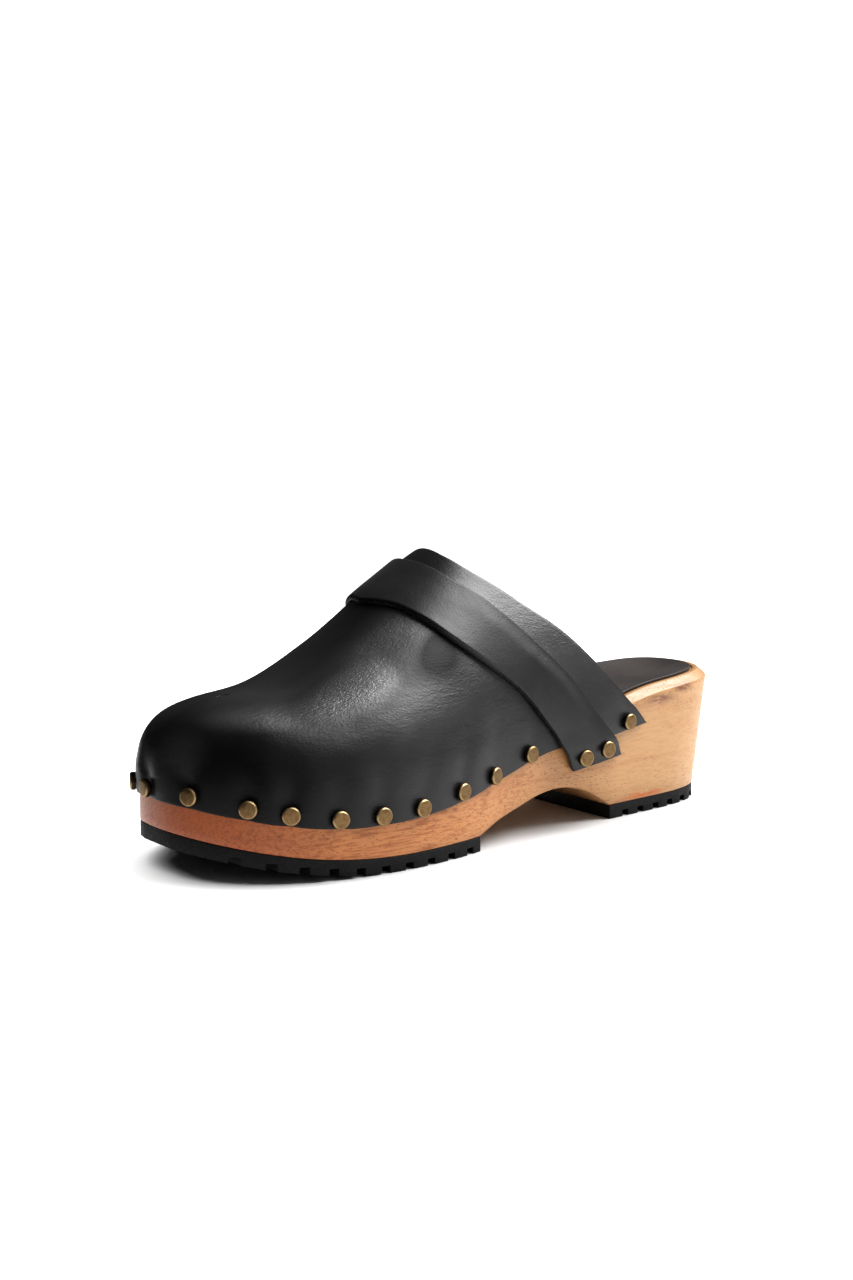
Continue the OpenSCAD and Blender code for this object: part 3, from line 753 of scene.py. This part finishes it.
def sock_leather():
    m = Surface("sock leather", IOR=1.45, Sheen_Weight=0.08)
    broad = m.noise((40, 30, 40), 3)
    pebble = m.math("MULTIPLY", m.cells((900, 900, 900)), 0.5)
    grain = m.math("ADD", m.noise((1200, 1200, 1200), 4, 0.6), pebble)
    m.put("Normal", m.bump(grain, 0.1))
    m.put("Base Color", m.blend(m.span(broad, 0.3, 0.7), colour(40, 33, 31), colour(52, 43, 40)))
    m.put("Roughness", m.span(broad, 0.3, 0.7, 0.5, 0.62))
    return m.material


# Stains in the side of the heel: two dark knots near its top and an orange streak at its foot
KNOTS = [((29, 84, 45), (12, 15, 3.4)), ((27, 99, 48), (8, 9, 3))]
STREAK, STREAK_REACH = (27, 78, 7.4), (16, 20, 2.8)


def oiled_wood():
    """Redder at the toe and paler at the heel, with rings, fine grain and short dark pores."""
    m = Surface("oiled wood", IOR=1.45, Coat_Weight=0.2, Coat_Roughness=0.4)
    y = m.along("Y")
    to_heel = m.span(m.math("ADD", y, m.math("MULTIPLY", m.noise((25, 8, 40), 2), 0.03)), -0.09, 0.11)
    base = m.blend(to_heel, colour(178, 111, 56), colour(182, 141, 97))
    base = m.blend(m.span(y, -0.07, -0.12), base, colour(168, 84, 34))
    rings = m.noise((55, 4, 130), 3, 0.5, 0.8)
    base = m.blend(m.math("MULTIPLY", m.span(rings, 0.45, 0.72), 0.3), base, colour(150, 84, 44))
    fine = m.noise((1100, 60, 1100), 5, 0.65, 0.2)
    depth = m.math("MULTIPLY", m.span(fine, 0.44, 0.64), m.span(to_heel, 0.0, 1.0, 0.85, 0.16))
    base = m.blend(depth, base, colour(136, 72, 32))
    pores = m.span(m.cells((1250, 400, 1250)), 0.3, 0.12)
    patchy = m.span(m.noise((60, 20, 60), 2), 0.28, 0.5)
    base = m.blend(m.math("MULTIPLY", m.math("MULTIPLY", pores, patchy), 0.7), base, colour(92, 48, 24))
    knots = m.math("MAXIMUM", *(m.spot(place, reach) for place, reach in KNOTS))
    ragged = m.span(m.noise((240, 90, 420), 4, 0.6, 1.2), 0.3, 0.62)
    base = m.blend(m.math("MULTIPLY", knots, ragged), base, colour(104, 56, 36))
    patches = m.span(m.noise((200, 60, 500), 3), 0.35, 0.55)
    streak = m.math("MULTIPLY", m.spot(STREAK, STREAK_REACH), patches)
    base = m.blend(streak, base, colour(184, 92, 30))
    m.put("Base Color", base)
    m.put("Roughness", m.span(fine, 0.3, 0.7, 0.42, 0.56))
    m.put("Normal", m.bump(m.math("SUBTRACT", m.math("MULTIPLY", fine, 0.5), pores), 0.05))
    return m.material


# The bright ring near the rim of a nail head, partly worn polish and partly a painted highlight on its
# chamfer, and the dark side of the head below its rim, partly patina and partly painted shade
POLISH_AND_HIGHLIGHT_FROM, POLISH_AND_HIGHLIGHT_TO, PATINA_AND_SHADE_FROM, PATINA_AND_SHADE_TO = HEAD_D / 2 - 0.7, HEAD_D / 2 - 0.4, HEAD_H - 0.3, HEAD_H - 0.8


def antique_brass():
    m = Surface("antique brass", Metallic=1.0)
    blotch = m.noise((420, 420, 420), 4, 0.6)
    scratches = m.noise((2600, 300, 900), 3)
    x, y = m.along("X"), m.along("Y")
    r = m.math("POWER", m.math("ADD", m.math("MULTIPLY", x, x), m.math("MULTIPLY", y, y)), 0.5)
    worn = m.math("ADD", blotch, m.math("MULTIPLY", scratches, 0.5))
    tone = m.blend(m.span(worn, 0.55, 0.95), colour(102, 79, 52), colour(134, 111, 80))
    # Partly worn polish, partly painted highlight: the chamfer's ring is lightened
    ring = m.math("MULTIPLY", m.span(r, POLISH_AND_HIGHLIGHT_FROM * MM, POLISH_AND_HIGHLIGHT_TO * MM), 0.55)
    tone = m.blend(ring, tone, colour(180, 160, 122))
    # Partly patina, partly painted shade: the side of the head below its rim is darkened nearly to black
    side = m.math("MULTIPLY", m.span(m.along("Z"), PATINA_AND_SHADE_FROM * MM, PATINA_AND_SHADE_TO * MM), 0.92)
    m.put("Base Color", m.blend(side, tone, colour(44, 33, 24)))
    rough = m.math("ADD", blotch, m.math("MULTIPLY", scratches, 0.4))
    m.put("Roughness", m.span(rough, 0.4, 0.9, 0.36, 0.54))
    m.put("Normal", m.bump(m.math("ADD", scratches, blotch), 0.035))
    return m.material


def tread_rubber():
    m = Surface("tread rubber", IOR=1.45, Specular_IOR_Level=0.35)
    broad = m.noise((60, 60, 60), 3)
    fine = m.noise((1500, 1500, 1500), 3)
    m.put("Base Color", m.blend(m.span(broad, 0.35, 0.65), colour(7, 7, 8), colour(13, 13, 13)))
    m.put("Roughness", m.span(fine, 0.3, 0.7, 0.6, 0.76))
    m.put("Normal", m.bump(m.math("ADD", fine, broad), 0.07))
    return m.material


# ---- Studio ----

# The camera's place in millimetres, the angles it turns and looks down, and its focal length as a
# share of the picture's height
CAMERA_AT, CAMERA_TURN, CAMERA_TILT, CAMERA_FOCAL = (588.0, -435.6, 172.2), 54.0, 7.8, 1951 / 1280
SENSOR = 36.0
FLOOR_CENTRE, FLOOR_RADIUS, FLOOR_ALBEDO = (-0.05, 0.35, 0.0), 0.55, 0.5
# Lamps: the way towards each, the angle it fills and its power
KEY_FROM, KEY_ANGLE, KEY_POWER = (0.19, 0.59, 0.79), 44.0, 5.4
FILL_FROM, FILL_ANGLE, FILL_POWER = (0.87, 0.10, 0.35), 80.0, 0.6
SKY_FROM, SKY_ANGLE, SKY_POWER = (0, 0, 1), 165.0, 0.15
WASH_FROM, WASH_ANGLE, WASH_POWER = (-0.42, 0.02, 0.9), 76.0, 7.4


def camera():
    data = bpy.data.cameras.new("camera")
    data.sensor_width = SENSOR
    data.lens = CAMERA_FOCAL * SENSOR
    data.clip_start, data.clip_end = 0.01, 50.0
    view = bpy.data.objects.new("camera", data)
    view.location = [c * MM for c in CAMERA_AT]
    view.rotation_euler = (radians(90 - CAMERA_TILT), 0, radians(CAMERA_TURN))
    bpy.context.scene.collection.objects.link(view)
    bpy.context.scene.camera = view


def floor():
    """A pale round table top."""
    mesh = bpy.data.meshes.new("floor")
    b = bmesh.new()
    bmesh.ops.create_circle(b, cap_ends=True, segments=96, radius=FLOOR_RADIUS)
    b.to_mesh(mesh)
    b.free()
    pale = (FLOOR_ALBEDO, FLOOR_ALBEDO, FLOOR_ALBEDO, 1)
    mesh.materials.append(Surface("pale floor", Roughness=0.9, Base_Color=pale).material)
    top = bpy.data.objects.new("floor", mesh)
    top.location = FLOOR_CENTRE
    bpy.context.scene.collection.objects.link(top)
    return top


def lamp(name, direction, angle, power):
    """A far lamp that fills the given angle of the room, like a big softbox."""
    data = bpy.data.lights.new(name, "SUN")
    data.angle = radians(angle)
    data.energy = power
    sun = bpy.data.objects.new(name, data)
    sun.rotation_euler = (-Vector(direction)).to_track_quat("-Z", "Y").to_euler()
    bpy.context.scene.collection.objects.link(sun)
    return sun


def studio(top):
    """A dim room with one large softbox to the right and above, before a white background, and a
    wash of light on the table top alone."""
    world = bpy.data.worlds.new("studio")
    bpy.context.scene.world = world
    world.use_nodes = True
    world.node_tree.nodes["Background"].inputs["Color"].default_value = (1, 1, 1, 1)
    for ray in ("diffuse", "glossy", "transmission", "scatter"):
        setattr(world.cycles_visibility, ray, False)
    lamp("key", KEY_FROM, KEY_ANGLE, KEY_POWER)
    lamp("fill", FILL_FROM, FILL_ANGLE, FILL_POWER)
    lamp("sky", SKY_FROM, SKY_ANGLE, SKY_POWER)
    wash = lamp("wash", WASH_FROM, WASH_ANGLE, WASH_POWER)
    wash.light_linking.receiver_collection = bpy.data.collections.new("washed")
    wash.light_linking.receiver_collection.objects.link(top)
    bpy.context.scene.view_settings.view_transform = "Standard"
    bpy.context.scene.view_settings.look = "Medium High Contrast"


leather_upper(upper_leather())
instep_strap(strap_leather())
wooden_sole(oiled_wood())
heel_sock(sock_leather())
rubber = tread_rubber()
rounded_tread("tread-front", "forefoot_tread", rubber)
rounded_tread("tread-heel", "heel_tread", rubber)
nails(antique_brass())
studio(floor())
camera()
